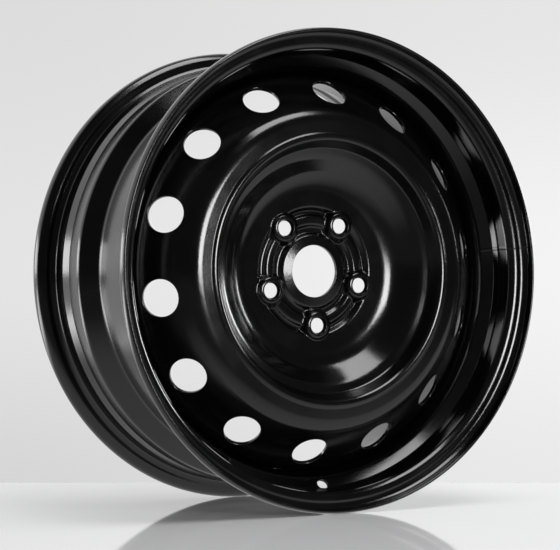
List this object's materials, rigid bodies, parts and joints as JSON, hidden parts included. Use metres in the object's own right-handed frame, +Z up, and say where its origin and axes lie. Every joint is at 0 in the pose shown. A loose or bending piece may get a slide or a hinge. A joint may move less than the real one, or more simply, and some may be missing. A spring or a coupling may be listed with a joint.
{
  "type": "steel wheel",
  "caption": "Black painted steel disc wheel: rolled drop-centre rim with a pressed centre, round vents, raised bolt seats and a centre bore",
  "frame": {"origin": "on the axle line, midway between the rim's two flanges", "axes": "+Y along the axle towards the car (inboard), -Y the outboard face that shows, +Z up as the wheel stands on the car, +X to the right of someone who faces the outboard side"},
  "size_m": [0.4711, 0.2104, 0.4712],
  "materials": {
    "rim": "black satin-gloss paint with fine orange peel",
    "disc": "black satin-gloss paint with fine orange peel",
    "weld_beads": "black paint over rippled arc welds"
  },
  "bodies": {
    "root": {"rim": "rim", "disc": "disc", "weld_beads": "weld_beads"}
  },
  "joints": []
}
